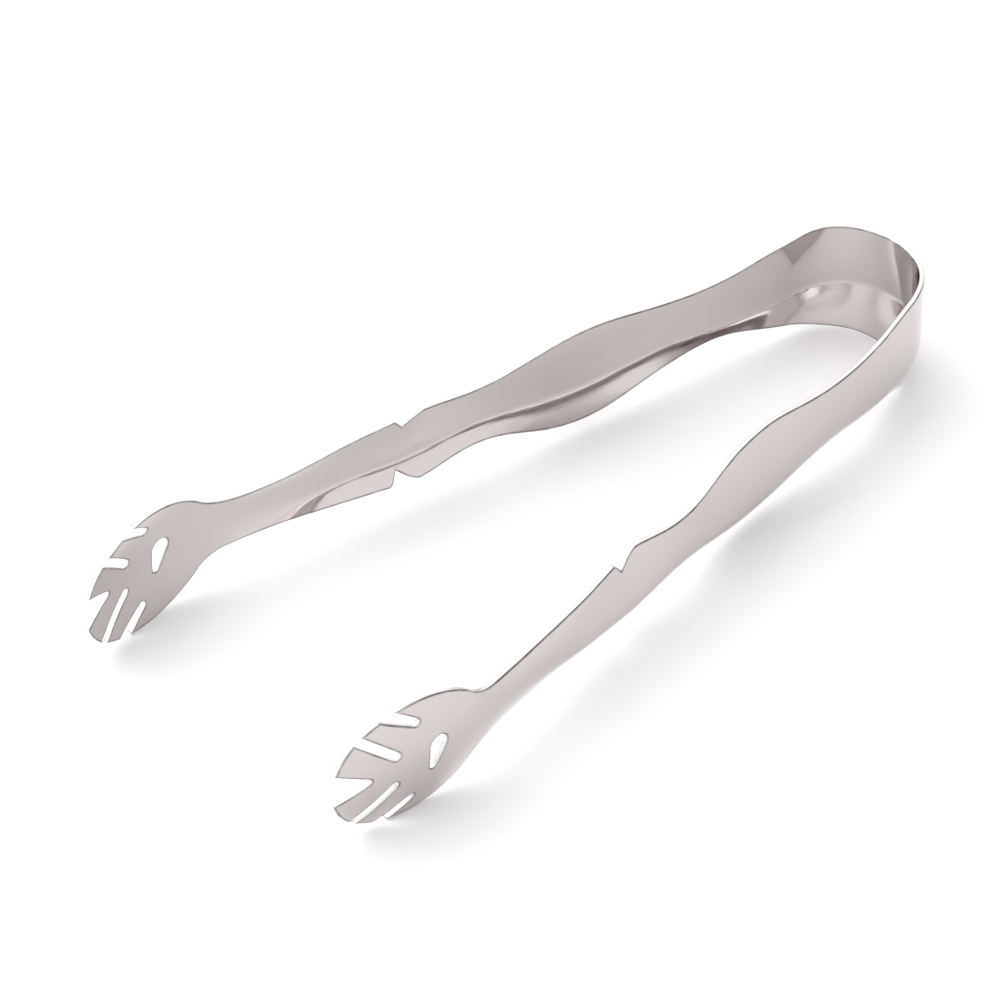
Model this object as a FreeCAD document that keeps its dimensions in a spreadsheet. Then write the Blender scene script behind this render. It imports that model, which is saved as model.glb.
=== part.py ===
import FreeCAD, Part
import math
import os

import Sketcher

# Ice tongs pressed from one strip of stainless steel, lying on one long edge.
# +X points from the claws to the bow, +Y to the left arm, +Z up. Z = 0 is the surface that the tongs
# lie on, and X = Y = 0 is the middle of their outline seen from above.
# The strip is divided into zones. The middle of the bow is the spring. Each side, a shoulder with its
# arm and claw, turns about an upright line that touches the strip's inner edges at hinge_angle from
# the bow's apex.

VERTICAL = FreeCAD.Vector(0, 0, 1)

# Driving dimensions: alias, value, note. Lengths in mm, angles in degrees.
DIMENSIONS = [
    ("strip_thickness", 1.0, "sheet thickness"),
    ("apex_outer_x", 89.45, "outer face of the bow, ahead of the origin"),
    ("mid_height", 12.1, "height of the tongs' middle plane above the surface"),
    ("bow_radius", 15.07, "radius of the strip's middle layer in the bow"),
    ("hinge_angle", 50.0, "angle round the bow from its apex to where an arm starts to turn"),
    ("hinge_slit", 0.3, "gap between the bow and each shoulder"),
    ("splay_angle", 7.8, "angle of each arm to the middle of the tongs"),
    ("arm_length", 135.7, "straight length of an arm, from the bow to the neck of its claw"),
    ("notch_at", 94.0, "distance of the notches along the arm"),
    ("notch_half_height", 5.3, "half height of the strip at the bottom of the notches"),
    ("notch_reach", 3.0, "how far the notch's cutter runs out past its bottom"),
    ("notch_bow_run", 4.2, "length of the notch's slope towards the bow, over that reach"),
    ("notch_claw_run", 2.4, "length of the notch's slope towards the claw, over that reach"),
    ("claw_length", 30.5, "length of a claw along its arm, from the neck to the tip"),
    ("claw_bend_radius", 63.0, "lengthwise curve of a claw"),
    ("claw_dish_radius", 44.0, "curve of a claw across the strip"),
    ("claw_spare", 1.5, "how far the dish runs past its outline before it is trimmed"),
    ("claw_flare_radius", 21.0, "outline of a claw from the neck to its rim"),
    ("claw_half_height", 12.1, "half the height of a claw at its widest"),
    ("slot_reach", 11.0, "how far a slot's cutter runs out from the centre of its root"),
    ("pear_wide_radius", 1.85, "wide end of the pear-shaped hole"),
    ("pear_narrow_radius", 0.75, "narrow end of the pear-shaped hole"),
    ("pear_wide_at", 10.6, "distance of the hole's wide end from the neck"),
    ("pear_narrow_at", 11.5, "distance of the hole's narrow end from the neck"),
    ("pear_rise", 1.4, "height of the hole's wide end above the middle plane"),
    ("pear_drop", 2.7, "depth of the hole's narrow end below the middle plane"),
]

# Cross sections round the bow: name, angle from the apex, half height, radius across the strip.
SHOULDER_SECTIONS = [
    ("shoulder_start", 50.0, 11.2, 59.0),
    ("shoulder_middle", 66.0, 10.9, 55.0),
    ("shoulder_end", 82.2, 10.1, 44.0),
]

# Cross sections along an arm: name, distance from the bow, half height, radius across the strip.
ARM_SECTIONS = [
    ("arm_start", 0.0, 10.1, 44.0),
    ("bow_taper", 6.9, 8.65, 29.5),
    ("waist_start", 15.2, 7.1, 19.7),
    ("waist", 23.1, 6.7, 16.7),
    ("grip_start", 31.0, 7.3, 17.2),
    ("grip_rise", 38.8, 8.55, 18.7),
    ("grip_front", 45.7, 9.7, 20.6),
    ("grip_widest", 52.6, 10.0, 21.6),
    ("grip_fall", 59.5, 9.25, 19.7),
    ("grip_end", 65.9, 7.7, 16.7),
    ("shank_start", 72.2, 6.3, 14.3),
    ("shank_narrow", 78.1, 6.1, 12.8),
    ("shank_swell", 84.5, 7.0, 12.8),
    ("before_notch", 89.9, 7.75, 12.8),
    ("after_notch", 96.8, 7.3, 12.8),
    ("shank_front", 104.7, 6.5, 12.8),
    ("shank_taper", 114.5, 5.5, 12.8),
    ("shank_thin", 124.3, 4.95, 14.7),
    ("neck_start", 130.7, 5.1, 21.6),
    ("neck", 135.7, 5.7, 44.0),
]

# Slots in a claw's rim: name, centre of the root from the neck and from the middle plane, radius of
# the root, direction, angle by which each side opens.
SLOTS = [
    ("outer_slot", 15.3, 8.3, 0.75, 32.0, 3.5),
    ("middle_slot", 19.4, 3.25, 0.8, 41.0, 0.5),
    ("tip_slot", 24.5, 0.0, 0.65, 0.0, 25.0),
]

document = FreeCAD.newDocument("ice_tongs")
sheet = document.addObject("Spreadsheet::Sheet", "Dimensions")
sheet.Label = "Dimensions"


def write_sheet():
    """Fill the sheet: one row for each driving dimension, with its alias and its note."""
    rows = list(DIMENSIONS)
    for name, angle, half_height, across in SHOULDER_SECTIONS:
        rows.append((name + "_angle", angle, "angle from the apex"))
        rows.append((name + "_half", half_height, "half height of the section"))
        rows.append((name + "_across", across, "radius across the strip"))
    for name, distance, half_height, across in ARM_SECTIONS:
        rows.append((name + "_at", distance, "distance from the bow"))
        rows.append((name + "_half", half_height, "half height of the section"))
        rows.append((name + "_across", across, "radius across the strip"))
    for name, root_at, root_height, radius, direction, taper in SLOTS:
        rows.append((name + "_at", root_at, "distance of the root's centre from the neck"))
        rows.append((name + "_height", root_height, "height of the root's centre"))
        rows.append((name + "_radius", radius, "radius of the root"))
        rows.append((name + "_direction", direction, "angle of the slot to the arm"))
        rows.append((name + "_taper", taper, "angle by which each side opens"))
    for row, (alias, value, note) in enumerate(rows, start=1):
        sheet.set("A%d" % row, alias)
        sheet.set("B%d" % row, str(value))
        sheet.setAlias("B%d" % row, alias)
        sheet.set("C%d" % row, note)
    document.recompute()


def size(alias):
    """A driving dimension's value."""
    return float(getattr(sheet, alias))


def cell(alias):
    """A driving dimension as an expression refers to it."""
    return "Dimensions." + alias


def plane(body, role):
    """The body's own origin plane with this role."""
    return next(item for item in body.Origin.OriginFeatures if item.Role == role)


def new_body(name):
    """An empty body, whose label is the piece's name."""
    body = document.addObject("PartDesign::Body", name)
    body.Label = name
    return body


def new_sketch(body, name, role):
    """An empty sketch on one of the body's own origin planes."""
    sketch = body.newObject("Sketcher::SketchObject", name)
    sketch.AttachmentSupport = (plane(body, role), [""])
    sketch.MapMode = "FlatFace"
    return sketch


def bind(sketch, constraint, expression):
    """Add a dimensional constraint and bind it to an expression."""
    index = sketch.addConstraint(constraint)
    sketch.setExpression("Constraints[%d]" % index, expression)


def signed(sign, expression):
    """The expression, negated if sign is negative."""
    return expression if sign > 0 else "-" + expression


def place(sketch, element, point, across, up):
    """Bind a point of a sketch element at distances across and up from the sketch's origin."""
    at = sketch.getPoint(element, point)
    bind(sketch, Sketcher.Constraint("DistanceX", -1, 1, element, point, at.x), across)
    bind(sketch, Sketcher.Constraint("DistanceY", -1, 1, element, point, at.y), up)


def closed_outline(sketch, corners):
    """Draw straight lines from corner to corner and back, and give the first line's number."""
    first = sketch.GeometryCount
    count = len(corners)
    for step in range(count):
        sketch.addGeometry(Part.LineSegment(corners[step], corners[(step + 1) % count]), False)
    for step in range(count):
        sketch.addConstraint(
            Sketcher.Constraint("Coincident", first + step, 2, first + (step + 1) % count, 1))
    return first


def arc_band(sketch, centre_across, centre, radius, half_height, half_expression, radius_expression):
    """Draw the strip's cross section: two arcs with one centre, closed by two level edges.

    The arcs' centre lies on the inner side of the strip, at centre_across from the sketch's origin.
    """
    half_thick = size("strip_thickness") / 2
    middle = FreeCAD.Vector(centre, 0, 0)
    ends = []
    for layer_radius in (radius - half_thick, radius + half_thick):
        reach = math.asin(half_height / layer_radius)
        circle = Part.Circle(middle, VERTICAL, layer_radius)
        sketch.addGeometry(Part.ArcOfCircle(circle, -reach, reach), False)
        run = layer_radius * math.cos(reach)
        ends.append(FreeCAD.Vector(centre + run, half_height, 0))
    for sign in (1, -1):
        inner_end = FreeCAD.Vector(ends[0].x, sign * ends[0].y, 0)
        outer_end = FreeCAD.Vector(ends[1].x, sign * ends[1].y, 0)
        sketch.addGeometry(Part.LineSegment(inner_end, outer_end), False)
    sketch.addConstraint(Sketcher.Constraint("Coincident", 0, 2, 2, 1))
    sketch.addConstraint(Sketcher.Constraint("Coincident", 1, 2, 2, 2))
    sketch.addConstraint(Sketcher.Constraint("Coincident", 0, 1, 3, 1))
    sketch.addConstraint(Sketcher.Constraint("Coincident", 1, 1, 3, 2))
    sketch.addConstraint(Sketcher.Constraint("Coincident", 0, 3, 1, 3))
    sketch.addConstraint(Sketcher.Constraint("PointOnObject", 0, 3, -1))
    sketch.addConstraint(Sketcher.Constraint("Horizontal", 2))
    sketch.addConstraint(Sketcher.Constraint("Horizontal", 3))
    bind(sketch, Sketcher.Constraint("DistanceX", -1, 1, 0, 3, centre), centre_across)
    half_band = cell("strip_thickness") + " / 2"
    inner_radius = Sketcher.Constraint("Radius", 0, radius - half_thick)
    outer_radius = Sketcher.Constraint("Radius", 1, radius + half_thick)
    bind(sketch, inner_radius, radius_expression + " - " + half_band)
    bind(sketch, outer_radius, radius_expression + " + " + half_band)
    bind(sketch, Sketcher.Constraint("DistanceY", -1, 1, 0, 2, half_height), half_expression)
    bind(sketch, Sketcher.Constraint("DistanceY", 0, 1, -1, 1, half_height), half_expression)


def bow_section(body, name, section, turn):
    """A cross section that stands upright, at an angle round the bow's centre."""
    sketch = new_sketch(body, name, "XZ_Plane")
    sketch.AttachmentOffset = FreeCAD.Placement(
        FreeCAD.Vector(0, 0, 0), FreeCAD.Rotation(FreeCAD.Vector(0, 1, 0), turn))
    centre = size("bow_radius") - size(section + "_across")
    arc_band(sketch, cell("bow_radius") + " - " + cell(section + "_across"), centre,
             size(section + "_across"), size(section + "_half"),
             cell(section + "_half"), cell(section + "_across"))
    return sketch


def bow_centre():
    """Centre of the bow's curve."""
    centre_x = size("apex_outer_x") - size("strip_thickness") / 2 - size("bow_radius")
    return FreeCAD.Vector(centre_x, 0, size("mid_height"))


def arm_direction(side):
    """Direction from the bow to the claw, along an arm. Side is 1 for left and -1 for right."""
    splay = math.radians(size("splay_angle"))
    return FreeCAD.Vector(-math.cos(splay), side * math.sin(splay), 0)


def arm_rotation(side):
    """Turn of an arm's own frame, whose -X runs to the claw and whose +Y faces outwards."""
    splay = size("splay_angle")
    if side > 0:
        return FreeCAD.Rotation(VERTICAL, -splay)
    half_splay = math.radians(splay / 2)
    return FreeCAD.Rotation(FreeCAD.Vector(math.cos(half_splay), math.sin(half_splay), 0), 180)


def arm_start(side):
    """Point in the strip's middle layer where the bow ends and an arm starts."""
    turn = math.radians(90 - size("splay_angle"))
    radius = size("bow_radius")
    return bow_centre() + FreeCAD.Vector(radius * math.cos(turn), side * radius * math.sin(turn), 0)


def make_spring_bow():
    """The middle of the bow: the strip's section revolved about an upright line."""
    body = new_body("spring_bow")
    body.Placement.Base = bow_centre()
    section = bow_section(body, "bow_profile", "shoulder_start", 0)
    revolution = body.newObject("PartDesign::Revolution", "bow_revolution")
    revolution.Profile = section
    revolution.ReferenceAxis = (section, ["V_Axis"])
    revolution.Midplane = True
    slit_turn = "%s / %s * 90 / pi" % (cell("hinge_slit"), cell("bow_radius"))
    revolution.setExpression("Angle", "2 * (%s - %s)" % (cell("hinge_angle"), slit_turn))


def make_shoulder(side, side_name):
    """The side of the bow, which turns with its arm and narrows towards it."""
    body = new_body(side_name + "_shoulder")
    body.Placement.Base = bow_centre()
    slit_turn = math.degrees(size("hinge_slit") / size("bow_radius")) / 2
    sections = []
    for index, (section, *_) in enumerate(SHOULDER_SECTIONS):
        start = slit_turn if index == 0 else 0
        turn = side * (size(section + "_angle") + start)
        sections.append(bow_section(body, side_name + "_" + section, section, turn))
    loft = body.newObject("PartDesign::AdditiveLoft", side_name + "_shoulder_loft")
    loft.Profile = sections[0]
    loft.Sections = sections[1:]


def make_arm(side, side_name):
    """A straight channel with a wide grip and a narrow shank, notched top and bottom."""
    body = new_body(side_name + "_arm")
    body.Placement = FreeCAD.Placement(arm_start(side), arm_rotation(side))
    sections = []
    for section, distance, half_height, across in ARM_SECTIONS:
        sketch = new_sketch(body, side_name + "_" + section, "YZ_Plane")
        sketch.setExpression("AttachmentOffset.Base.z", "-" + cell(section + "_at"))
        arc_band(sketch, "-" + cell(section + "_across"), -across, across, half_height,
                 cell(section + "_half"), cell(section + "_across"))
        sections.append(sketch)
    document.recompute()
    loft = body.newObject("PartDesign::AdditiveLoft", side_name + "_arm_loft")
    loft.Profile = sections[0]
    loft.Sections = sections[1:]
    document.recompute()
    cut_notches(body, side_name)


def cut_notches(body, side_name):
    """A V-shaped notch in each long edge: steep towards the claw, slanting towards the bow."""
    sketch = new_sketch(body, side_name + "_notch_outline", "XZ_Plane")
    depth_at = -size("notch_at")
    rim = size("notch_half_height") + size("notch_reach")
    for sign in (1, -1):
        bottom = FreeCAD.Vector(depth_at, sign * size("notch_half_height"), 0)
        bow_side = FreeCAD.Vector(depth_at + size("notch_bow_run"), sign * rim, 0)
        claw_side = FreeCAD.Vector(depth_at - size("notch_claw_run"), sign * rim, 0)
        first = closed_outline(sketch, [bottom, bow_side, claw_side])
        sketch.addConstraint(Sketcher.Constraint("Horizontal", first + 1))
        place(sketch, first, 1, "-" + cell("notch_at"), signed(sign, cell("notch_half_height")))
        rim_up = "(%s + %s)" % (cell("notch_half_height"), cell("notch_reach"))
        bind(sketch, Sketcher.Constraint("DistanceY", -1, 1, first, 2, sign * rim), signed(sign, rim_up))
        for line, run in ((first, "notch_bow_run"), (first + 2, "notch_claw_run")):
            bind(sketch, Sketcher.Constraint("DistanceX", line, 1, line, 2, size(run)), cell(run))
    cut_through(body, sketch, side_name + "_notches")


def cut_through(body, sketch, name):
    """Cut a side-view outline right through the strip."""
    document.recompute()
    before = body.Shape.Volume
    pocket = body.newObject("PartDesign::Pocket", name)
    pocket.Profile = sketch
    pocket.Type = "ThroughAll"
    pocket.Midplane = True
    document.recompute()
    if not pocket.Shape.Volume < before:
        raise RuntimeError(name + " cuts nothing")


def make_claw(side, side_name):
    """A shallow dish with a round, slotted rim and a pear-shaped hole."""
    body = new_body(side_name + "_claw")
    neck = arm_start(side) + arm_direction(side) * size("arm_length")
    body.Placement = FreeCAD.Placement(neck, arm_rotation(side))
    make_dish(body, side_name)
    for sign, edge in ((1, "upper"), (-1, "lower")):
        trim_claw(body, side_name + "_" + edge, sign)
    cut_slots(body, side_name)
    cut_pear(body, side_name, side)


def make_dish(body, side_name):
    """Curve the strip lengthwise, then revolve that about a line along the arm, inside the tongs."""
    sketch = new_sketch(body, side_name + "_dish_profile", "XY_Plane")
    sketch.setExpression("AttachmentOffset.Base.y", "-" + cell("claw_dish_radius"))
    bend = size("claw_bend_radius")
    half_thick = size("strip_thickness") / 2
    reach = size("claw_length") + size("claw_spare")
    centre = FreeCAD.Vector(0, size("claw_dish_radius") - bend, 0)
    for layer_radius in (bend - half_thick, bend + half_thick):
        circle = Part.Circle(centre, VERTICAL, layer_radius)
        turn = math.asin(reach / layer_radius)
        sketch.addGeometry(Part.ArcOfCircle(circle, math.pi / 2, math.pi / 2 + turn), False)
    inner = sketch.Geometry[0]
    outer = sketch.Geometry[1]
    sketch.addGeometry(Part.LineSegment(inner.StartPoint, outer.StartPoint), False)
    sketch.addGeometry(Part.LineSegment(inner.EndPoint, outer.EndPoint), False)
    for line, point in ((2, 1), (3, 2)):
        sketch.addConstraint(Sketcher.Constraint("Coincident", 0, point, line, 1))
        sketch.addConstraint(Sketcher.Constraint("Coincident", 1, point, line, 2))
        sketch.addConstraint(Sketcher.Constraint("Vertical", line))
    sketch.addConstraint(Sketcher.Constraint("Coincident", 0, 3, 1, 3))
    sketch.addConstraint(Sketcher.Constraint("PointOnObject", 0, 1, -2))
    sketch.addConstraint(Sketcher.Constraint("PointOnObject", 0, 3, -2))
    bind(sketch, Sketcher.Constraint("DistanceY", -1, 1, 0, 3, centre.y),
         cell("claw_dish_radius") + " - " + cell("claw_bend_radius"))
    half_band = cell("strip_thickness") + " / 2"
    for element, offset in ((0, " - "), (1, " + ")):
        radius = sketch.Geometry[element].Radius
        bind(sketch, Sketcher.Constraint("Radius", element, radius),
             cell("claw_bend_radius") + offset + half_band)
    bind(sketch, Sketcher.Constraint("DistanceX", 0, 2, -1, 1, reach),
         cell("claw_length") + " + " + cell("claw_spare"))
    revolution = body.newObject("PartDesign::Revolution", side_name + "_dish")
    revolution.Profile = sketch
    revolution.ReferenceAxis = (sketch, ["H_Axis"])
    revolution.Midplane = True
    revolution.setExpression("Angle", "2 * asin((%s + %s) / %s)" % (
        cell("claw_half_height"), cell("claw_spare"), cell("claw_dish_radius")))
    document.recompute()


def flare_centre(sign):
    """Centre of the outline's arc that leaves the neck and has its top at the claw's half height."""
    radius = size("claw_flare_radius")
    drop = radius - size("claw_half_height")
    run = math.sqrt(radius ** 2 - (size("neck_half") + drop) ** 2)
    return FreeCAD.Vector(-run, -sign * drop, 0)


def rim_radius():
    """Radius of the arc round the tip that runs into the flare's arc without a corner."""
    flare = flare_centre(1)
    beyond = size("claw_length") + flare.x
    radius = size("claw_flare_radius")
    return (radius ** 2 - beyond ** 2 - flare.y ** 2) / (2 * (radius - beyond))


def add_arc(sketch, centre, start, end, sign=1):
    """Draw an arc from start to end: counter-clockwise if sign is 1 and clockwise if it is -1."""
    if sign < 0:
        start, end = end, start
    turns = [math.atan2((point - centre).y, (point - centre).x) for point in (start, end)]
    circle = Part.Circle(centre, VERTICAL, (start - centre).Length)
    sketch.addGeometry(Part.ArcOfCircle(circle, turns[0], turns[1]), False)


def end_at(sketch, element, point):
    """Which end of a sketch element lies at a point: 1 for its start, 2 for its end."""
    geometry = sketch.Geometry[element]
    to_start = geometry.StartPoint.distanceToPoint(point)
    return 1 if to_start < geometry.EndPoint.distanceToPoint(point) else 2


def join(sketch, kind, first, second, point):
    """Join two elements where they meet, with a Coincident or a Tangent constraint."""
    ends = (first, end_at(sketch, first, point), second, end_at(sketch, second, point))
    sketch.addConstraint(Sketcher.Constraint(kind, *ends))


def trim_claw(body, name, sign):
    """Cut one half of the dish to its outline: a flare from the neck, then the round rim."""
    sketch = new_sketch(body, name + "_outline", "XZ_Plane")
    flare = flare_centre(sign)
    neck = FreeCAD.Vector(0, sign * size("neck_half"), 0)
    tip = FreeCAD.Vector(-size("claw_length"), 0, 0)
    rim = FreeCAD.Vector(tip.x + rim_radius(), 0, 0)
    meeting = rim + (rim - flare).normalize() * rim_radius()
    add_arc(sketch, flare, neck, meeting, sign)
    add_arc(sketch, rim, meeting, tip, sign)
    spare = 2 * size("claw_spare")
    far_x = tip.x - spare
    far_up = sign * (size("claw_half_height") + spare)
    corners = [tip, FreeCAD.Vector(far_x, 0, 0), FreeCAD.Vector(far_x, far_up, 0),
               FreeCAD.Vector(0, far_up, 0), neck]
    for start, end in zip(corners, corners[1:]):
        sketch.addGeometry(Part.LineSegment(start, end), False)
    join(sketch, "Tangent", 0, 1, meeting)
    for element, point in enumerate(corners, start=1):
        join(sketch, "Coincident", element, (element + 1) % 6, point)
    for element, kind in ((2, "Horizontal"), (3, "Vertical"), (4, "Horizontal"), (5, "Vertical")):
        sketch.addConstraint(Sketcher.Constraint(kind, element))
    sketch.addConstraint(Sketcher.Constraint("PointOnObject", 1, 3, -1))
    sketch.addConstraint(Sketcher.Constraint("PointOnObject", 2, 1, -1))
    sketch.addConstraint(Sketcher.Constraint("PointOnObject", 5, 1, -2))
    bind(sketch, Sketcher.Constraint("Radius", 0, size("claw_flare_radius")),
         cell("claw_flare_radius"))
    drop = "(%s - %s)" % (cell("claw_flare_radius"), cell("claw_half_height"))
    bind(sketch, Sketcher.Constraint("DistanceY", -1, 1, 0, 3, flare.y), signed(-sign, drop))
    bind(sketch, Sketcher.Constraint("DistanceX", -1, 1, 2, 1, tip.x), "-" + cell("claw_length"))
    bind(sketch, Sketcher.Constraint("DistanceY", -1, 1, 5, 2, neck.y),
         signed(sign, cell("neck_half")))
    place(sketch, 3, 2, "-(%s + 2 * %s)" % (cell("claw_length"), cell("claw_spare")),
          signed(sign, "(%s + 2 * %s)" % (cell("claw_half_height"), cell("claw_spare"))))
    cut_through(body, sketch, name + "_trim")


def cut_slots(body, side_name):
    """Five slots that leave six teeth: a pair near each edge and one at the tip."""
    for slot, root_at, root_height, *_ in SLOTS:
        edges = [(1, "upper"), (-1, "lower")] if root_height else [(1, "middle")]
        for sign, edge in edges:
            name = "%s_%s_%s" % (side_name, edge, slot)
            sketch = new_sketch(body, name + "_outline", "XZ_Plane")
            turn = sign * (180 - size(slot + "_direction"))
            sketch.AttachmentOffset = FreeCAD.Placement(
                FreeCAD.Vector(-root_at, sign * root_height, 0), FreeCAD.Rotation(VERTICAL, turn))
            sketch.setExpression("AttachmentOffset.Base.x", "-" + cell(slot + "_at"))
            sketch.setExpression("AttachmentOffset.Base.y", signed(sign, cell(slot + "_height")))
            draw_slot(sketch, slot)
            cut_through(body, sketch, name)


def draw_slot(sketch, slot):
    """A wedge along the sketch's own +X, with a round root about the sketch's origin."""
    radius = size(slot + "_radius")
    taper = math.radians(size(slot + "_taper"))
    reach = size("slot_reach")
    across = FreeCAD.Vector(-math.sin(taper), math.cos(taper), 0) * radius
    upper_start = across
    lower_start = FreeCAD.Vector(across.x, -across.y, 0)
    rise = across.y + (reach - across.x) * math.tan(taper)
    upper_end = FreeCAD.Vector(reach, rise, 0)
    lower_end = FreeCAD.Vector(reach, -rise, 0)
    add_arc(sketch, FreeCAD.Vector(0, 0, 0), upper_start, lower_start)
    for start, end in ((upper_start, upper_end), (lower_start, lower_end), (upper_end, lower_end)):
        sketch.addGeometry(Part.LineSegment(start, end), False)
    join(sketch, "Tangent", 0, 1, upper_start)
    join(sketch, "Tangent", 0, 2, lower_start)
    join(sketch, "Coincident", 1, 3, upper_end)
    join(sketch, "Coincident", 2, 3, lower_end)
    sketch.addConstraint(Sketcher.Constraint("Coincident", 0, 3, -1, 1))
    sketch.addConstraint(Sketcher.Constraint("Symmetric", 1, 2, 2, 2, -1))
    bind(sketch, Sketcher.Constraint("Radius", 0, radius), cell(slot + "_radius"))
    bind(sketch, Sketcher.Constraint("DistanceX", -1, 1, 3, 1, reach), cell("slot_reach"))
    bind(sketch, Sketcher.Constraint("Angle", 1, taper), cell(slot + "_taper"))


def cut_pear(body, side_name, side):
    """A hole in the claw's middle: two round ends joined by straight sides."""
    sketch = new_sketch(body, side_name + "_pear_outline", "XZ_Plane")
    ends = []
    for end, sign, drop in (("wide", side, "pear_rise"), ("narrow", -side, "pear_drop")):
        centre = FreeCAD.Vector(-size("pear_%s_at" % end), sign * size(drop), 0)
        ends.append((end, sign, drop, centre, size("pear_%s_radius" % end)))
    wide_centre, wide_radius = ends[0][3:]
    narrow_centre, narrow_radius = ends[1][3:]
    axis = narrow_centre - wide_centre
    lean = math.asin((wide_radius - narrow_radius) / axis.Length)
    forward = axis.normalize()
    touches = []
    for turn in (1, -1):
        sideways = FreeCAD.Vector(-forward.y, forward.x, 0) * turn
        touches.append(forward * math.sin(lean) + sideways * math.cos(lean))
    wide_touch = [wide_centre + touch * wide_radius for touch in touches]
    narrow_touch = [narrow_centre + touch * narrow_radius for touch in touches]
    add_arc(sketch, wide_centre, wide_touch[0], wide_touch[1])
    add_arc(sketch, narrow_centre, narrow_touch[0], narrow_touch[1], -1)
    for element, (start, end) in enumerate(zip(wide_touch, narrow_touch), start=2):
        sketch.addGeometry(Part.LineSegment(start, end), False)
        join(sketch, "Tangent", 0, element, start)
        join(sketch, "Tangent", 1, element, end)
    for element, (end, sign, drop, _, radius) in enumerate(ends):
        place(sketch, element, 3, "-" + cell("pear_%s_at" % end), signed(sign, cell(drop)))
        bind(sketch, Sketcher.Constraint("Radius", element, radius), cell("pear_%s_radius" % end))
    cut_through(body, sketch, side_name + "_pear_hole")


write_sheet()
make_spring_bow()
for side, side_name in ((1, "left"), (-1, "right")):
    make_shoulder(side, side_name)
    make_arm(side, side_name)
    make_claw(side, side_name)
document.recompute()

for item in document.Objects:
    if "Invalid" in item.State or "Error" in item.State:
        raise RuntimeError("%s failed: %s" % (item.Label, item.State))

bodies = [item for item in document.Objects if item.TypeId == "PartDesign::Body"]
for body in bodies:
    if body.Shape.isNull() or not body.Shape.isValid() or len(body.Shape.Solids) != 1:
        raise RuntimeError(body.Label + " has no valid single solid")

os.makedirs("parts", exist_ok=True)
for body in bodies:
    body.Shape.exportStep("parts/" + body.Label + ".step")
    box = body.Shape.BoundBox
    print("%-16s volume %8.1f  x %.2f..%.2f  y %.2f..%.2f  z %.2f..%.2f" % (
        body.Label, body.Shape.Volume, box.XMin, box.XMax, box.YMin, box.YMax, box.ZMin, box.ZMax))
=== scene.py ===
import math

import bpy
import numpy as np
from mathutils import Matrix, Vector
from mathutils.geometry import delaunay_2d_cdt


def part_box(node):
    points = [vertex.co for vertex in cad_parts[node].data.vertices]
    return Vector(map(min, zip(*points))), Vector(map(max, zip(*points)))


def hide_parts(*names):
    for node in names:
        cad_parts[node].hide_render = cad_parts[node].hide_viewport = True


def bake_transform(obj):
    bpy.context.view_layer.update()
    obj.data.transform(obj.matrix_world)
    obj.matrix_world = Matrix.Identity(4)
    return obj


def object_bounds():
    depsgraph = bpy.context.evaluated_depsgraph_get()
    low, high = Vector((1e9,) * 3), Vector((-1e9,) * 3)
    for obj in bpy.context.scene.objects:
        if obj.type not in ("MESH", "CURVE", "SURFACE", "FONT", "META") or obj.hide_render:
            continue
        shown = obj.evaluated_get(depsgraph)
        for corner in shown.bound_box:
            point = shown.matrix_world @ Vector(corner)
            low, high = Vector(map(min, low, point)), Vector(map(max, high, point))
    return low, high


# Ice tongs bent from one strip of polished stainless steel, lying on one long edge.
# The strip is drawn flat and then bent. A place in it has three measures, in millimetres: "along" is
# the distance from the back of the bow to the claw's tip, "up" the height above the tongs' middle
# plane and "out" the depth in the sheet, positive towards its outer face. Each half of the strip is
# one piece, and the imported model has a hinge at the bow.

MM = 0.001

THICKNESS = 1.0
BOW_RADIUS = 15.07
SPLAY = math.radians(7.8)
ARM_LENGTH = 135.7

# A notch's walls run straight for NOTCH_STRAIGHT of their height and then curve over its shoulders.
# NOTCH_SPARE is how far its cutter runs past the strip's edge.
NOTCH_AT = 94.0
NOTCH_HALF_HEIGHT = 5.3
NOTCH_EDGE_HEIGHT = 7.7
NOTCH_BOW_RUN = 3.3
NOTCH_CLAW_RUN = 1.9
NOTCH_SHOULDER = 2.8
NOTCH_STRAIGHT = 0.55
NOTCH_SPARE = 0.3

CLAW_LENGTH = 30.5
CLAW_HALF_HEIGHT = 12.1
CLAW_BEND_RADIUS = 63.0
CLAW_DISH_RADIUS = 44.0
CLAW_FLARE_RADIUS = 21.0
NECK_FILLET = 3.2

SLOT_REACH = 11.0
PEAR_WIDE_RADIUS = 1.85
PEAR_NARROW_RADIUS = 0.75
PEAR_WIDE_AT = 10.6
PEAR_NARROW_AT = 11.5
PEAR_RISE = 1.4
PEAR_DROP = 2.7

# The fold below the middle: its height as a share of the half height at places along the strip, its
# softness at the bow and along an arm, how steeply the face below it leans in both, where it changes
# from one to the other, how far an arm's fold stands out, and where, measured back from the neck, it
# fades into the claw.
FOLD_HEIGHTS = [
    (0.0, -0.14), (8.0, -0.17), (16.0, -0.3), (24.0, -0.54), (32.0, -0.74), (39.0, -0.78),
    (47.0, -0.67), (57.0, -0.57), (72.0, -0.52), (100.0, -0.5), (116.0, -0.5), (158.0, -0.5),
]
FOLD_SOFTNESS = (0.03, 0.12)
FOLD_LEAN = (math.radians(15), math.radians(36))
FOLD_CHANGE = (17.0, 33.0)
FOLD_OUT = 0.7
FOLD_FADE = (13.0, 33.0)

# A cut edge is rounded off on both faces, and a dark line of painted shade, in place of a dark
# reflection, follows each rounding. The grid of points in the sheet keeps clear of both.
EDGE_ROUND = 0.22
EDGE_SHADE_LINE = 0.2
EDGE_CLEAR = 0.66
# Distances between points: in the sheet's grid, between the grid's rows, and along straight and round
# stretches of the outline. PROBE is the short step over which a direction is measured.
GRID_STEP = 0.8
ROW_STEP = 0.87 * GRID_STEP
OUTLINE_STEP = 0.6
ARC_STEP = 0.25
CURVE_POINTS = 14
PROBE = 0.02

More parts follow.
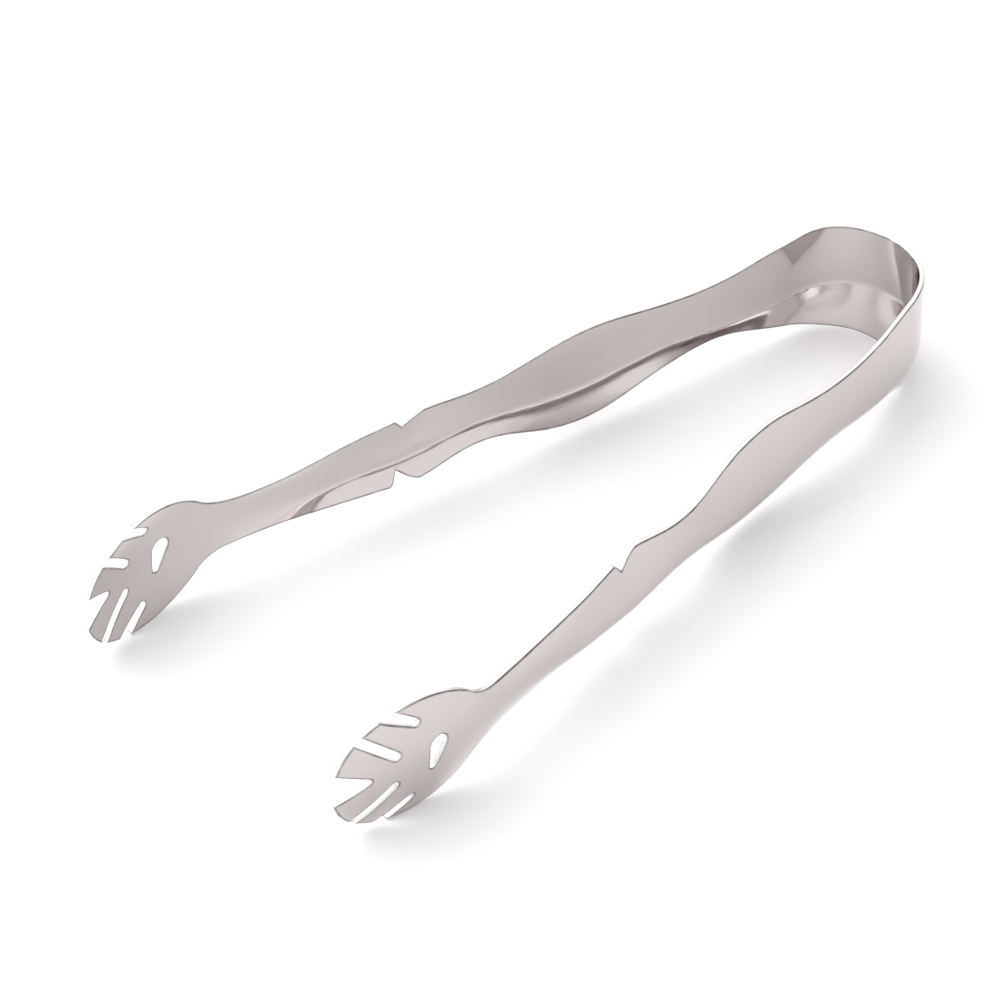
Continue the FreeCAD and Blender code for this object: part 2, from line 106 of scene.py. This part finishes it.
# At a sharp corner the rounding is pulled in, in a few passes, until it fits.
CORNER_STRETCH = 0.7
FIT_PASSES = 4
FIT_EASE = 1.15
FIT_LEAST = 0.3

# How far past the back of the bow, and past its end, the places bend_start and bend_end lie.
BEND_MARGIN = 3.0

BOW_LENGTH = BOW_RADIUS * (math.pi / 2 - SPLAY)
NECK = BOW_LENGTH + ARM_LENGTH

# Cross sections of the bow: angle from its back, half height, radius across the strip.
BOW_SECTIONS = [(0, 11.2, 59.0), (25, 11.2, 59.0), (50, 11.2, 59.0), (66, 10.9, 55.0)]

# Cross sections of an arm: distance from the bow, half height, radius across the strip.
ARM_SECTIONS = [
    (0.0, 10.1, 44.0), (6.9, 8.65, 29.5), (15.2, 7.1, 19.7), (23.1, 6.7, 16.7), (31.0, 7.3, 17.2),
    (38.8, 8.55, 18.7), (45.7, 9.7, 20.6), (52.6, 10.0, 21.6), (59.5, 9.25, 19.7), (65.9, 7.7, 16.7),
    (72.2, 6.3, 14.3), (78.1, 6.1, 12.8), (84.5, 7.0, 12.8), (89.9, 7.75, 12.8), (96.8, 7.3, 12.8),
    (104.7, 6.5, 12.8), (114.5, 5.5, 12.8), (124.3, 4.95, 14.7), (130.7, 5.1, 21.6), (135.7, 5.7, 44.0),
]

# Slots in a claw's rim: centre of the root from the neck and above the middle plane, radius of the
# root, direction, angle by which each side opens.
SLOTS = [(15.3, 8.3, 0.75, 32.0, 3.5), (19.4, 3.25, 0.8, 41.0, 0.5), (24.5, 0.0, 0.65, 0.0, 25.0)]

# The camera: its direction from the tongs, its roll and distance, and the point that it looks at,
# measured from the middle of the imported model's box. The lens is in millimetres.
CAMERA_AZIMUTH = math.radians(-49.24)
CAMERA_ELEVATION = math.radians(38.88)
CAMERA_ROLL = math.radians(5.0)
CAMERA_DISTANCE = 779.4 * MM
CAMERA_AIM = Vector((-14.1, 4.55, 0.0)) * MM
LENS = 158.35

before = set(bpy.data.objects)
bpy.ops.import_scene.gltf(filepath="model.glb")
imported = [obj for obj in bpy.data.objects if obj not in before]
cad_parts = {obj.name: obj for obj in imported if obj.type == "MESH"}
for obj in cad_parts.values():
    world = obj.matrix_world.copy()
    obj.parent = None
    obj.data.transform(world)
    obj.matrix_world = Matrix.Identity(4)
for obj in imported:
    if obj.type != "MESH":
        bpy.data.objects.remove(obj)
cad_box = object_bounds()
bow_low, bow_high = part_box("spring_bow")
MIDDLE_HEIGHT = (bow_low.z + bow_high.z) / 2 / MM
BOW_CENTRE_X = bow_high.x / MM - THICKNESS / 2 - BOW_RADIUS


# ---- The strip's shape -------------------------------------------------------------------------

def natural_spline(knots, values):
    """A smooth curve through the values at the knots, as a function of an array of places."""
    knots = np.array(knots, float)
    values = np.array(values, float)
    gaps = np.diff(knots)
    slopes = np.diff(values) / gaps
    system = np.eye(len(knots))
    target = np.zeros(len(knots))
    for i in range(1, len(knots) - 1):
        system[i, i - 1:i + 2] = gaps[i - 1], 2 * (gaps[i - 1] + gaps[i]), gaps[i]
        target[i] = 6 * (slopes[i] - slopes[i - 1])
    bends = np.linalg.solve(system, target)

    def curve(place):
        place = np.clip(place, knots[0], knots[-1])
        i = np.clip(np.searchsorted(knots, place) - 1, 0, len(gaps) - 1)
        before = place - knots[i]
        after = knots[i + 1] - place
        bent = (bends[i] * after ** 3 + bends[i + 1] * before ** 3) / (6 * gaps[i])
        left = (values[i] / gaps[i] - bends[i] * gaps[i] / 6) * after
        right = (values[i + 1] / gaps[i] - bends[i + 1] * gaps[i] / 6) * before
        return bent + left + right

    return curve


def strip_curves():
    """Half height of the strip and its radius across, both as functions of the place along it."""
    rows = [(math.radians(angle) * BOW_RADIUS, half, across) for angle, half, across in BOW_SECTIONS]
    rows += [(BOW_LENGTH + distance, half, across) for distance, half, across in ARM_SECTIONS]
    along, halves, radii = zip(*rows)
    return natural_spline(along, halves), natural_spline(along, radii)


half_height, across_radius = strip_curves()
fold_height = natural_spline(*zip(*FOLD_HEIGHTS))


def ease(value):
    """A smooth step from 0 to 1."""
    value = np.clip(value, 0, 1)
    return value * value * (3 - 2 * value)


def section(along, up):
    """Depth and slope across the strip: folded below its middle, and a plain arc towards the claw."""
    half = half_height(along)
    radius = across_radius(along)
    fold = fold_height(along)
    change = ease((along - FOLD_CHANGE[0]) / (FOLD_CHANGE[1] - FOLD_CHANGE[0]))
    softness, lean = (bow + (arm - bow) * change for bow, arm in (FOLD_SOFTNESS, FOLD_LEAN))
    sag = radius - np.sqrt(radius ** 2 - half ** 2)
    upper_slope = sag / half / (1 - fold)
    lower_slope = np.tan(lean)
    tilt = (upper_slope - lower_slope) / 2
    bend = (upper_slope + lower_slope) / 2
    place = up / half - fold
    reach = np.hypot(place, softness)
    top = softness * np.sqrt(upper_slope * lower_slope)
    fold_depth = FOLD_OUT * change - half * (tilt * place + bend * reach - top)
    fold_slope = -(tilt + bend * place / reach)
    level = np.sqrt(radius ** 2 - up ** 2)
    share = ease((NECK - FOLD_FADE[0] - along) / (FOLD_FADE[1] - FOLD_FADE[0]))
    depth = share * fold_depth + (1 - share) * (level - radius)
    return depth, share * fold_slope - (1 - share) * up / level


def strip_point(along, up, out):
    """Places in the left half of the strip, as rows of x, y and z in millimetres."""
    along, up, out = np.broadcast_arrays(*(np.asarray(value, float) for value in (along, up, out)))
    turn = np.clip(along, 0, BOW_LENGTH) / BOW_RADIUS
    beyond = np.maximum(along - BOW_LENGTH, 0)
    in_claw = np.maximum(along - NECK, 0)
    depth, slope = section(along, up)
    arm_depth = depth + out * np.hypot(1, slope)
    bend = np.sqrt((CLAW_BEND_RADIUS + out) ** 2 - in_claw ** 2) - CLAW_BEND_RADIUS + CLAW_DISH_RADIUS
    claw_depth = np.sqrt(bend ** 2 - up ** 2) - CLAW_DISH_RADIUS
    depth = np.where(along > NECK, claw_depth, arm_depth)
    x = BOW_CENTRE_X + (BOW_RADIUS + depth) * np.cos(turn) - beyond * math.cos(SPLAY)
    y = (BOW_RADIUS + depth) * np.sin(turn) + beyond * math.sin(SPLAY)
    return np.stack([x, y, MIDDLE_HEIGHT + up], axis=-1)


def unit(vectors):
    """The vectors, each scaled to a length of 1."""
    return vectors / np.linalg.norm(vectors, axis=-1, keepdims=True)


def outward_normal(along, up, out):
    """Direction square to the sheet, out of its outer face."""
    forward = strip_point(along + PROBE, up, out) - strip_point(along - PROBE, up, out)
    upward = strip_point(along, up + PROBE, out) - strip_point(along, up - PROBE, out)
    return unit(np.cross(forward, upward))


# ---- The flat outline --------------------------------------------------------------------------

def arc(centre, radius, start, end):
    """Points on an arc, ends included, from one angle to another."""
    count = max(2, math.ceil(abs(end - start) * radius / ARC_STEP))
    turns = np.linspace(start, end, count + 1)
    return [(centre[0] + radius * math.cos(turn), centre[1] + radius * math.sin(turn)) for turn in turns]


def segment(start, end):
    """Points on a straight line, ends included."""
    start = np.array(start, float)
    end = np.array(end, float)
    count = max(1, math.ceil(np.linalg.norm(end - start) / OUTLINE_STEP))
    return [tuple(start + (end - start) * share) for share in np.linspace(0, 1, count + 1)]


def claw_edge():
    """Upper half of a claw's outline: an arc that flares from the neck, then one round the tip."""
    drop = CLAW_FLARE_RADIUS - CLAW_HALF_HEIGHT
    neck_height = float(half_height(NECK))
    run = math.sqrt(CLAW_FLARE_RADIUS ** 2 - (neck_height + drop) ** 2)
    beyond = CLAW_LENGTH - run
    rim_radius = (CLAW_FLARE_RADIUS ** 2 - beyond ** 2 - drop ** 2) / (2 * (CLAW_FLARE_RADIUS - beyond))
    flare_centre = (NECK + run, -drop)
    rim_centre = (NECK + CLAW_LENGTH - rim_radius, 0)
    start = math.atan2(neck_height + drop, -run)
    meeting = math.atan2(drop, rim_centre[0] - flare_centre[0])
    flare = arc(flare_centre, CLAW_FLARE_RADIUS, start, meeting)
    return flare + arc(rim_centre, rim_radius, meeting, 0)[1:]


def curve(start, corner, end):
    """Points on a smooth curve that turns from start towards corner and on to end, ends included."""
    start, corner, end = (np.array(point, float) for point in (start, corner, end))
    shares = np.linspace(0, 1, CURVE_POINTS)[:, None]
    points = (1 - shares) ** 2 * start + 2 * shares * (1 - shares) * corner + shares ** 2 * end
    return [tuple(point) for point in points]


def fillet(points, corner, reach):
    """Round a polyline's corner: a curve replaces what lies within reach of it."""
    near = [i for i, point in enumerate(points) if math.dist(point, corner) < reach]
    first, last = near[0] - 1, near[-1] + 1
    return points[:first] + curve(points[first], corner, points[last]) + points[last + 1:]


def strip_outline():
    """The whole outline of half a strip: lower edge from the bow to the tip, and upper edge back."""
    stations = np.arange(0, NECK, OUTLINE_STEP)
    upper = [(along, float(half_height(along))) for along in stations] + claw_edge()
    upper = fillet(upper, (NECK, float(half_height(NECK))), NECK_FILLET)
    lower = [(along, -up) for along, up in upper]
    back = segment(upper[0], lower[0])[1:-1]
    return lower + upper[-2::-1] + back


def notch_cutters():
    """A notch over each long edge, steep towards the claw, with rounded shoulders."""
    bottom = (BOW_LENGTH + NOTCH_AT, NOTCH_HALF_HEIGHT)
    walls = []
    for run in (-NOTCH_BOW_RUN, NOTCH_CLAW_RUN):
        corner = (bottom[0] + run, NOTCH_EDGE_HEIGHT)
        outer = (corner[0] + math.copysign(NOTCH_SHOULDER, run), half_height(corner[0]) + NOTCH_SPARE)
        inner = np.array(bottom) * (1 - NOTCH_STRAIGHT) + np.array(corner) * NOTCH_STRAIGHT
        shoulder = curve(inner, corner, outer)
        walls.append(segment(bottom, shoulder[0])[:-1] + shoulder)
    bow_wall, claw_wall = walls
    lid = segment(claw_wall[-1], bow_wall[-1])[1:-1]
    ring = claw_wall + lid + bow_wall[:0:-1]
    return [ring, [(along, -up) for along, up in reversed(ring)]]


def slot_cutters():
    """Wedges with round roots: a pair near each edge of the claw and one at its tip."""
    cutters = []
    for root_at, root_height, radius, direction, taper in SLOTS:
        opening = math.radians(taper)
        root_half = radius * math.cos(opening)
        half_mouth = root_half + (SLOT_REACH + radius * math.sin(opening)) * math.tan(opening)
        root = arc((0, 0), radius, math.pi / 2 + opening, 3 * math.pi / 2 - opening)
        lower_side = segment(root[-1], (SLOT_REACH, -half_mouth))
        upper_side = segment((SLOT_REACH, half_mouth), root[0])
        wedge = np.array(root + lower_side[1:] + upper_side[:-1])
        for sign in ((1, -1) if root_height else (1,)):
            turn = sign * math.radians(direction)
            turned = wedge @ np.array([[math.cos(turn), math.sin(turn)], [-math.sin(turn), math.cos(turn)]])
            place = (NECK + root_at, sign * root_height)
            cutters.append([tuple(point) for point in turned + place])
    return cutters


def pear_cutter():
    """The hole in a claw's middle: a wide and a narrow round end with straight sides between."""
    wide = np.array([NECK + PEAR_WIDE_AT, PEAR_RISE])
    narrow = np.array([NECK + PEAR_NARROW_AT, -PEAR_DROP])
    axis = narrow - wide
    heading = math.atan2(axis[1], axis[0])
    lean = math.acos((PEAR_WIDE_RADIUS - PEAR_NARROW_RADIUS) / np.linalg.norm(axis))
    wide_end = arc(wide, PEAR_WIDE_RADIUS, heading + lean, heading + 2 * math.pi - lean)
    narrow_end = arc(narrow, PEAR_NARROW_RADIUS, heading - lean, heading + lean)
    first_side = segment(wide_end[-1], narrow_end[0])[1:-1]
    second_side = segment(narrow_end[-1], wide_end[0])[1:-1]
    return wide_end + first_side + narrow_end + second_side


def distance_to_lines(points, lines):
    """Distance from each point to the nearest of several lines of points."""
    nearest = np.full(len(points), np.inf)
    for corners in lines:
        corners = np.array(corners)
        for start, end in zip(corners, corners[1:]):
            line = end - start
            share = np.clip((points - start) @ line / (line @ line), 0, 1)
            gap = np.linalg.norm(points - start - share[:, None] * line, axis=1)
            nearest = np.minimum(nearest, gap)
    return nearest


def flat_sheet():
    """The cut sheet, flat: its points and its triangles."""
    outline = strip_outline()
    rings = [outline] + notch_cutters() + slot_cutters() + [pear_cutter()]
    tip = NECK + CLAW_LENGTH
    rows = []
    for index, up in enumerate(np.arange(-CLAW_HALF_HEIGHT, CLAW_HALF_HEIGHT, ROW_STEP)):
        start = GRID_STEP * (0.5 + 0.5 * (index % 2))
        rows += [(along, up) for along in np.arange(start, tip, GRID_STEP)]
    inner = np.array(rows)
    closed_rings = [ring + ring[:1] for ring in rings]
    inner = inner[distance_to_lines(inner, closed_rings) > EDGE_CLEAR]
    points = [Vector(point) for ring in rings for point in ring] + [Vector(point) for point in inner]
    faces = []
    start = 0
    for ring in rings:
        faces.append(list(range(start, start + len(ring))))
        start += len(ring)
    result = delaunay_2d_cdt(points, [], faces, 0, 1e-5)
    corners, triangles, sources = result[0], result[2], result[5]
    kept = [face for face, source in zip(triangles, sources) if 0 in source and len(set(source)) == 1]
    used = sorted({corner for face in kept for corner in face})
    number = {corner: index for index, corner in enumerate(used)}
    flat = np.array([corners[corner] for corner in used], float)
    return flat, [[number[corner] for corner in face] for face in kept]


def cut_chains(flat, triangles):
    """The cut edges as chains of points, each with the sheet on its left. The seam is left out."""
    directed = {(face[i], face[(i + 1) % 3]) for face in triangles for i in range(3)}
    following = {}
    for start, end in directed:
        on_seam = flat[start][0] < 1e-6 and flat[end][0] < 1e-6
        if (end, start) not in directed and not on_seam:
            following[start] = end
    chains = []
    ends = set(following.values())
    for first in sorted(following, key=lambda point: (point in ends, point)):
        if first not in following:
            continue
        chain = [first]
        while chain[-1] in following:
            chain.append(following.pop(chain[-1]))
        chains.append(chain)
    return chains


# ---- The bent, solid strip ---------------------------------------------------------------------

def chain_frame(flat, chain, chains):
    """For each point of a cut edge: how far its painted dark line of shade reaches, and the wall's
    direction in space.
    """
    closed = chain[0] == chain[-1]
    points = flat[chain[:-1]] if closed else flat[chain]
    if closed:
        before, after = np.roll(points, 1, axis=0), np.roll(points, -1, axis=0)
    else:
        before = np.vstack([points[:1], points[:-1]])
        after = np.vstack([points[1:], points[-1:]])
    arriving, leaving = points - before, after - points
    for steps, other in ((arriving, leaving), (leaving, arriving)):
        still = np.linalg.norm(steps, axis=1) < 1e-9
        steps[still] = other[still]
    arriving, leaving = unit(arriving), unit(leaving)
    forward = unit(arriving + leaving)
    aside = np.stack([forward[:, 1], -forward[:, 0]], axis=1)
    stretch = (EDGE_ROUND + EDGE_SHADE_LINE) / np.clip(np.sum(forward * leaving, axis=1), CORNER_STRETCH, 1)
    if not closed:
        aside[[0, -1]] = [(0, 1 if points[i][1] > 0 else -1) for i in (0, -1)]
    along, up = points.T
    ahead = strip_point(*(points + PROBE * forward).T, 0) - strip_point(*(points - PROBE * forward).T, 0)
    through = strip_point(along, up, THICKNESS / 2) - strip_point(along, up, -THICKNESS / 2)
    wall = unit(np.cross(ahead, through))
    outwards = strip_point(*(points + PROBE * aside).T, 0) - strip_point(along, up, 0)
    wall *= np.sign(np.sum(wall * outwards, axis=1))[:, None]
    inset = aside * stretch[:, None]
    for _ in range(FIT_PASSES):
        room = distance_to_lines(points - inset, chains) / np.linalg.norm(inset, axis=1)
        inset *= np.clip(FIT_EASE * room, FIT_LEAST, 1)[:, None]
    return points, inset, wall, closed


class StripMesh:
    """Collects the strip's points, each with its normal, flat place and nearness to a face's edge."""

    def __init__(self):
        self.places = []
        self.normals = []
        self.flat = []
        self.corner = []
        self.faces = []
        self.cut_faces = []

    def add(self, flat, out, normals, corner):
        first = len(self.places)
        self.places += list(strip_point(flat[:, 0], flat[:, 1], out))
        self.normals += list(normals)
        self.flat += [(along, up, out) for along, up in flat]
        self.corner += list(corner)
        return np.arange(first, first + len(flat))


def build_strip():
    """Bend the flat sheet, give it both faces, and close its cut edges with rounded walls."""
    flat, triangles = flat_sheet()
    chains = cut_chains(flat, triangles)
    edges = [flat[chain] for chain in chains]
    rims = [chain_frame(flat, chain, edges) for chain in chains]
    faced = flat.copy()
    for chain, (points, inset, _, _) in zip(chains, rims):
        faced[chain[:len(points)]] = points - inset
    mesh = StripMesh()
    sides = {}
    for sign in (1, -1):
        out = sign * THICKNESS / 2
        normals = sign * outward_normal(faced[:, 0], faced[:, 1], out)
        sides[sign] = mesh.add(faced, out, normals, np.zeros(len(faced)))
        for face in triangles:
            corners = [int(sides[sign][corner]) for corner in face]
            mesh.faces.append(corners[::sign])
    for chain, rim in zip(chains, rims):
        add_wall(mesh, sides, chain, rim)
    return mesh


def add_wall(mesh, sides, chain, rim):
    """Close one cut edge, from the painted dark line of shade on the outer face round to the one on the
    inner face.
    """
    points, inset, wall, closed = rim
    count = len(points)
    rings = [sides[1][chain[:count]]]
    steps = [(1, turn) for turn in (0, 30, 60, 90)] + [(-1, turn) for turn in (90, 60, 30, 0)]
    rounding = inset * EDGE_ROUND / (EDGE_ROUND + EDGE_SHADE_LINE)
    for sign, turn in steps:
        tilt = math.radians(turn)
        out = sign * (THICKNESS / 2 - EDGE_ROUND * (1 - math.cos(tilt)))
        places = points - (1 - math.sin(tilt)) * rounding
        facing = sign * outward_normal(places[:, 0], places[:, 1], out)
        normals = unit(facing * math.cos(tilt) + wall * math.sin(tilt))
        rings.append(mesh.add(places, out, normals, np.full(count, math.cos(tilt))))
    rings.append(sides[-1][chain[:count]])
    last = count if closed else count - 1
    for band, (upper, lower) in enumerate(zip(rings, rings[1:])):
        faces = mesh.faces if band in (0, len(steps)) else mesh.cut_faces
        for i in range(last):
            after = (i + 1) % count
            faces.append([int(n) for n in (upper[i], lower[i], lower[after], upper[after])])


def make_half(name, strip, side, materials):
    """One half of the strip as an object: the left half as built, or its mirror image."""
    mirror = np.array([1, side, 1])
    places = np.array(strip.places) * mirror * MM
    normals = np.array(strip.normals) * mirror
    faces = [face[::side] for face in strip.faces + strip.cut_faces]
    mesh = bpy.data.meshes.new(name)
    mesh.from_pydata([tuple(place) for place in places], [], faces)
    mesh.polygons.foreach_set("use_smooth", [True] * len(faces))
    slots = [0] * len(strip.faces) + [1] * len(strip.cut_faces)
    mesh.polygons.foreach_set("material_index", slots)
    for material in materials:
        mesh.materials.append(material)
    flat = mesh.attributes.new("flat_place", "FLOAT_VECTOR", "POINT")
    flat.data.foreach_set("vector", np.array(strip.flat, np.float32).ravel())
    corner = mesh.attributes.new("corner", "FLOAT", "POINT")
    corner.data.foreach_set("value", np.array(strip.corner, np.float32))
    mesh.normals_split_custom_set_from_vertices([tuple(normal) for normal in normals])
    mesh.update()
    half = bpy.data.objects.new(name, mesh)
    bpy.context.scene.collection.objects.link(half)
    return half


# ---- Materials ---------------------------------------------------------------------------------

def node(tree, kind, **values):
    """A new node of a material or world, with its settings."""
    made = tree.nodes.new(kind)
    for key, value in values.items():
        setattr(made, key, value)
    return made


def noise(tree, place, stretch, scale, detail):
    """Noise over the flat strip, drawn out along it by stretch. Scale is in millimetres."""
    mapping = node(tree, "ShaderNodeMapping")
    mapping.inputs["Scale"].default_value = (1 / (scale * stretch), 1 / scale, 1 / scale)
    tree.links.new(place, mapping.inputs["Vector"])
    texture = node(tree, "ShaderNodeTexNoise")
    texture.inputs["Scale"].default_value = 1.0
    texture.inputs["Detail"].default_value = detail
    tree.links.new(mapping.outputs["Vector"], texture.inputs["Vector"])
    return texture.outputs["Fac"]


def spread(tree, value, low, high):
    """Map a 0 to 1 value onto a range."""
    made = node(tree, "ShaderNodeMapRange")
    made.inputs["From Min"].default_value = 0.3
    made.inputs["From Max"].default_value = 0.7
    made.inputs["To Min"].default_value = low
    made.inputs["To Max"].default_value = high
    tree.links.new(value, made.inputs["Value"])
    return made.outputs["Result"]


def mix_colours(tree, amount, first, second):
    """Mix two colours, each a fixed colour or another node's output."""
    made = node(tree, "ShaderNodeMix", data_type="RGBA")
    tree.links.new(amount, made.inputs["Factor"])
    for socket, colour in ((made.inputs[6], first), (made.inputs[7], second)):
        if isinstance(colour, tuple):
            socket.default_value = (*colour, 1)
        else:
            tree.links.new(colour, socket)
    return made.outputs[2]


def combine(tree, first, second, operation="ADD"):
    """Add or multiply two values, each a number or another node's output."""
    made = node(tree, "ShaderNodeMath", operation=operation)
    for socket, value in zip(made.inputs, (first, second)):
        if isinstance(value, float):
            socket.default_value = value
        else:
            tree.links.new(value, socket)
    return made.outputs[0]


# Height of the steel's broad waves, where its polish lines have a height of 1.
WAVE_HEIGHT = 6.0


def steel(name, colours, roughness, line_bump, painted_edge_shade_colour, corner_roughness):
    """Stainless steel: polish lines along the strip, faint pressing waves, smears, and dark corners that
    are painted shade along the edges' roundings.
    """
    material = bpy.data.materials.new(name)
    material.use_nodes = True
    tree = material.node_tree
    shader = tree.nodes["Principled BSDF"]
    shader.inputs["Metallic"].default_value = 1.0
    place = node(tree, "ShaderNodeAttribute", attribute_name="flat_place").outputs["Vector"]
    nearness = node(tree, "ShaderNodeAttribute", attribute_name="corner").outputs["Fac"]
    lines = noise(tree, place, stretch=40, scale=0.25, detail=2)
    smears = noise(tree, place, stretch=2.5, scale=7, detail=4)
    specks = noise(tree, place, stretch=1, scale=2, detail=3)
    # Painted shade: the colour darkens towards the start of each edge's rounding, a dark line in place of a
    # reflection, broken up by specks.
    corner = combine(tree, nearness, spread(tree, specks, 0.55, 1.0), "MULTIPLY")
    tint = mix_colours(tree, smears, *colours)
    colour = mix_colours(tree, corner, tint, painted_edge_shade_colour)
    tree.links.new(colour, shader.inputs["Base Color"])
    low, high = roughness
    rough = combine(tree, spread(tree, smears, low, high), spread(tree, lines, 0.0, 0.05))
    rough = combine(tree, rough, combine(tree, corner, corner_roughness, "MULTIPLY"))
    tree.links.new(rough, shader.inputs["Roughness"])
    waves = noise(tree, place, stretch=2, scale=14, detail=1)
    height = combine(tree, combine(tree, waves, WAVE_HEIGHT, "MULTIPLY"), lines)
    bump = node(tree, "ShaderNodeBump")
    bump.inputs["Strength"].default_value = 1.0
    bump.inputs["Distance"].default_value = line_bump * MM
    tree.links.new(height, bump.inputs["Height"])
    tree.links.new(bump.outputs["Normal"], shader.inputs["Normal"])
    return material


def floor_material():
    """A pale, matt table top with the faintest unevenness."""
    material = bpy.data.materials.new("pale_floor")
    material.use_nodes = True
    tree = material.node_tree
    shader = tree.nodes["Principled BSDF"]
    shader.inputs["Roughness"].default_value = 0.9
    shader.inputs["Specular IOR Level"].default_value = 0.1
    place = node(tree, "ShaderNodeTexCoord").outputs["Object"]
    texture = node(tree, "ShaderNodeTexNoise")
    texture.inputs["Scale"].default_value = 3.0
    tree.links.new(place, texture.inputs["Vector"])
    colour = mix_colours(tree, texture.outputs["Fac"], (0.93, 0.93, 0.935), (0.95, 0.95, 0.95))
    tree.links.new(colour, shader.inputs["Base Color"])
    return material


# ---- Stage, light and camera -------------------------------------------------------------------

def make_floor():
    """A wide table top that the tongs lie on."""
    mesh = bpy.data.meshes.new("floor")
    reach = 3.0
    corners = [(-reach, -reach, 0), (reach, -reach, 0), (reach, reach, 0), (-reach, reach, 0)]
    mesh.from_pydata(corners, [], [(0, 1, 2, 3)])
    mesh.materials.append(floor_material())
    floor = bpy.data.objects.new("floor", mesh)
    bpy.context.scene.collection.objects.link(floor)
    floor.location.z = cad_box[0].z


def facing(azimuth, elevation):
    """Unit vector from the object towards a place round it: azimuth 0 is in front, along -Y."""
    level = math.cos(elevation)
    return Vector((math.sin(azimuth) * level, -math.cos(azimuth) * level, math.sin(elevation)))


def make_light(name, azimuth, elevation, distance, width, power):
    """A soft square light that points at the middle of the tongs."""
    data = bpy.data.lights.new(name, "AREA")
    data.size = width
    data.energy = power
    light = bpy.data.objects.new(name, data)
    bpy.context.scene.collection.objects.link(light)
    towards = facing(math.radians(azimuth), math.radians(elevation))
    light.location = towards * distance
    light.rotation_mode = "QUATERNION"
    light.rotation_quaternion = towards.to_track_quat("Z", "Y")


def make_world(screen_azimuth, screen_elevation, dark_radius, clear_radius, strength):
    """An even white studio with one round dark screen. Its place and its radii are angles in degrees."""
    world = bpy.data.worlds.new("studio")
    bpy.context.scene.world = world
    world.use_nodes = True
    tree = world.node_tree
    background = tree.nodes["Background"]
    direction = node(tree, "ShaderNodeTexCoord").outputs["Generated"]
    closeness = node(tree, "ShaderNodeVectorMath", operation="DOT_PRODUCT")
    closeness.inputs[1].default_value = facing(math.radians(screen_azimuth), math.radians(screen_elevation))
    tree.links.new(direction, closeness.inputs[0])
    screen = node(tree, "ShaderNodeMapRange", interpolation_type="SMOOTHSTEP")
    screen.inputs["From Min"].default_value = math.cos(math.radians(clear_radius))
    screen.inputs["From Max"].default_value = math.cos(math.radians(dark_radius))
    tree.links.new(closeness.outputs["Value"], screen.inputs["Value"])
    colour = mix_colours(tree, screen.outputs["Result"], (1.0, 0.99, 0.985), (0.02, 0.02, 0.02))
    tree.links.new(colour, background.inputs["Color"])
    background.inputs["Strength"].default_value = strength


def make_camera():
    """The camera, aimed near the middle of the tongs."""
    back = facing(CAMERA_AZIMUTH, CAMERA_ELEVATION)
    level_right = Vector((math.cos(CAMERA_AZIMUTH), math.sin(CAMERA_AZIMUTH), 0))
    level_up = back.cross(level_right)
    right = level_right * math.cos(CAMERA_ROLL) + level_up * math.sin(CAMERA_ROLL)
    upward = back.cross(right)
    data = bpy.data.cameras.new("camera")
    data.lens = LENS
    data.clip_start = 0.05
    data.clip_end = 20
    camera = bpy.data.objects.new("camera", data)
    bpy.context.scene.collection.objects.link(camera)
    aim = (cad_box[0] + cad_box[1]) / 2 + CAMERA_AIM
    camera.matrix_world = Matrix.Translation(aim + back * CAMERA_DISTANCE) @ Matrix(
        (right, upward, back)).transposed().to_4x4()
    bpy.context.scene.camera = camera


def make_tongs():
    """Both halves of the strip, in place of the imported model's parts, which are hidden."""
    # Each material's third colour is painted shade: the dark line along the edges' roundings.
    polished = steel("polished_steel", ((0.62, 0.575, 0.57), (0.58, 0.545, 0.545)), (0.05, 0.11), 0.0012,
                     (0.16, 0.15, 0.15), 0.1)
    # Painted highlight: the sheared edges' colours are lighter than the polished faces, standing in for the
    # overhead light they reflect; their rougher finish is their own.
    sheared = steel("sheared_edge_painted_highlight", ((0.88, 0.87, 0.86), (0.82, 0.81, 0.8)), (0.22, 0.3), 0.003,
                    (0.1, 0.1, 0.1), 0.05)
    strip = build_strip()
    bend = np.array([BEND_MARGIN, BOW_LENGTH + BEND_MARGIN])
    bend_start, bend_end = strip_point(bend, 0, 0) * MM
    for side, side_name in ((1, "left"), (-1, "right")):
        half = make_half(side_name + "_half", strip, side, (polished, sheared))
        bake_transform(half)
        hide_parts("spring_bow", *(side_name + "_" + part for part in ("shoulder", "arm", "claw")))


make_tongs()
make_floor()
make_world(screen_azimuth=64, screen_elevation=31, dark_radius=25, clear_radius=30, strength=1.18)
make_light("key_light", azimuth=-162, elevation=50, distance=1.2, width=1.2, power=6.5)
make_camera()
bpy.context.scene.view_settings.view_transform = "Standard"
